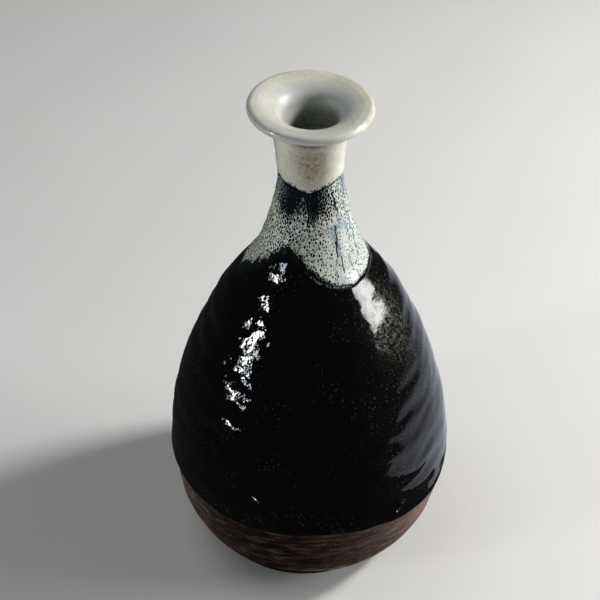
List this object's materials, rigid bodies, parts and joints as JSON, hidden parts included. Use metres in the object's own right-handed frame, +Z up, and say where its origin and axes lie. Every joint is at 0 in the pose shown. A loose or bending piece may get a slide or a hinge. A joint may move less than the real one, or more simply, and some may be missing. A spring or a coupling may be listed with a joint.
{
  "type": "sake bottle",
  "caption": "Narrow-necked stoneware sake bottle with a flared mouth, black glazed belly, speckled shoulder, cream collar and bare clay foot.",
  "frame": {"origin": "centre of the foot ring, on the plane that the bottle stands on", "axes": "+Z up along the turning axis, -Y towards the bottle's front"},
  "size_m": [0.094, 0.094, 0.17],
  "materials": {
    "bare_clay": "unglazed iron-rich stoneware, matt, with fine turning lines",
    "covered_clay": "unglazed iron-rich stoneware, under glaze",
    "liner_glaze": "grey-green glossy glaze",
    "black_glaze": "deep black, very glossy, uneven",
    "speckled_glaze": "pale ash glaze breaking into black specks, glossy",
    "white_glaze": "cream glaze with a faint brown blush, satin gloss"
  },
  "bodies": {
    "root": {"clay_body": "bare_clay", "clay_neck": "covered_clay", "liner_glaze": "liner_glaze", "black_glaze": "black_glaze", "speckled_glaze": "speckled_glaze", "white_glaze": "white_glaze"}
  },
  "joints": []
}
